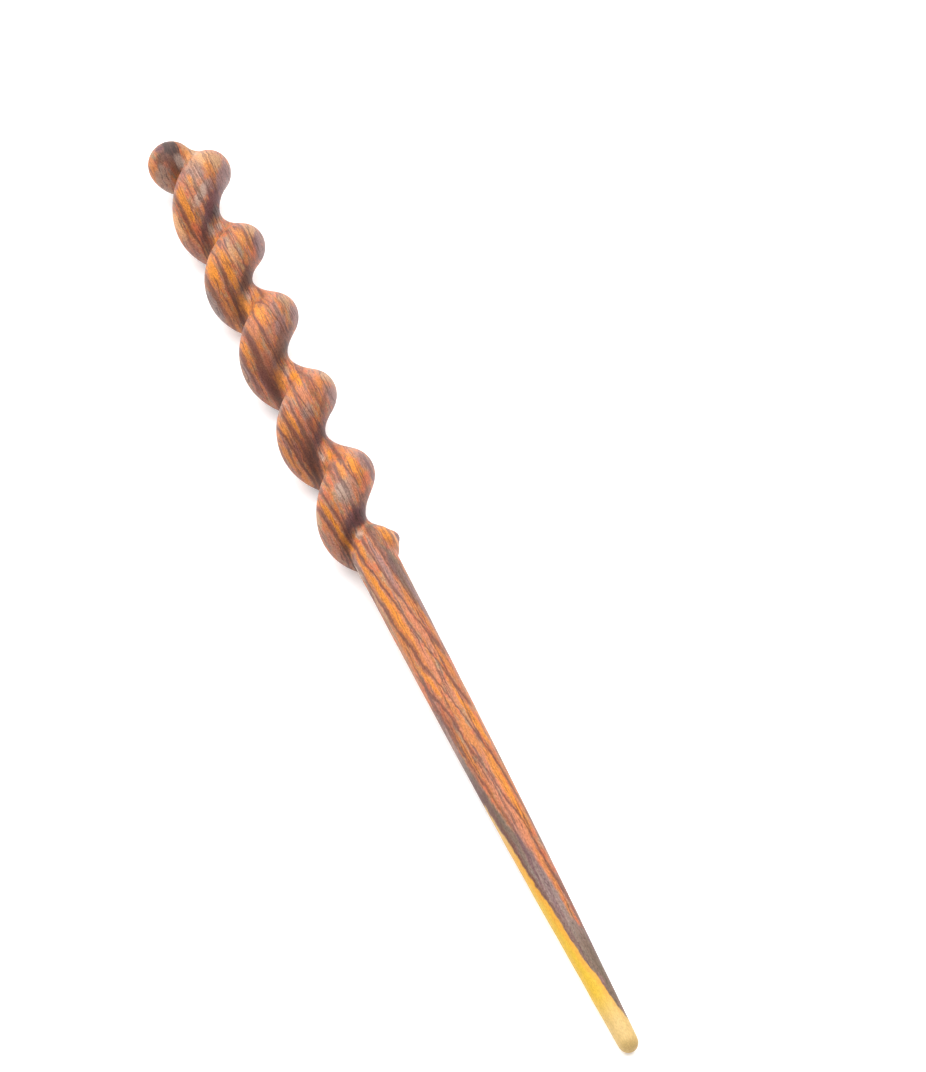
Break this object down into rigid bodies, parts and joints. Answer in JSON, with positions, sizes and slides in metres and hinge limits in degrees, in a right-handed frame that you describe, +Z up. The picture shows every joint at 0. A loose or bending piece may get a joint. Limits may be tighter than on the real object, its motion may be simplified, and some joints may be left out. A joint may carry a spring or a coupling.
{
  "type": "hair stick",
  "caption": "Slender hard-wood hair stick with a round knob, an open corkscrew handle and a plain shaft that tapers to a blunt tip.",
  "frame": {"origin": "under the middle of the stick's box, on the surface that it lies on", "axes": "+X along the stick towards its tip, +Y to the side that the handle leans to, +Z up from the surface"},
  "size_m": [0.18, 0.015, 0.0118],
  "materials": {
    "wood": "oiled, satin, strongly striped orange and dark brown with pale sapwood at the tip"
  },
  "bodies": {
    "root": {"stick": "wood"}
  },
  "joints": []
}
